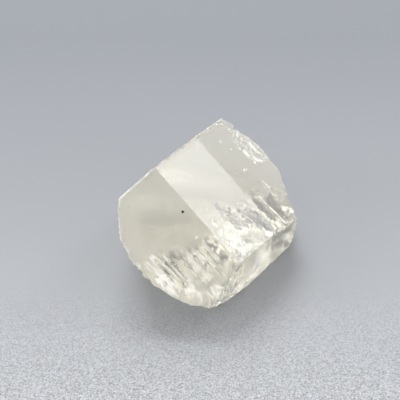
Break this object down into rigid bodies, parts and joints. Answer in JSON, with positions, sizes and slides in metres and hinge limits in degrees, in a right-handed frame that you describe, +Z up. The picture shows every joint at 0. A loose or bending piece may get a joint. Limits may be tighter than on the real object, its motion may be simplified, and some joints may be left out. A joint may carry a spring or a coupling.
{
  "type": "topaz crystal",
  "caption": "Broken piece of a clear, pale straw topaz prism with long flat growth faces, a flat cleavage end and fractured sides, lying on a flat broken face.",
  "frame": {"origin": "under the middle of the crystal's bounding box, at the height of the surface that it lies on", "axes": "+Z up, away from the surface; the crystal's long axis rises towards -X and +Y, and its broad face looks towards -Y"},
  "size_m": [0.0312, 0.0402, 0.0214],
  "materials": {
    "topaz": "clear and glossy on the growth faces, frosted where it broke, with white fractures inside the low end"
  },
  "bodies": {
    "root": {"crystal": "topaz"}
  },
  "joints": []
}
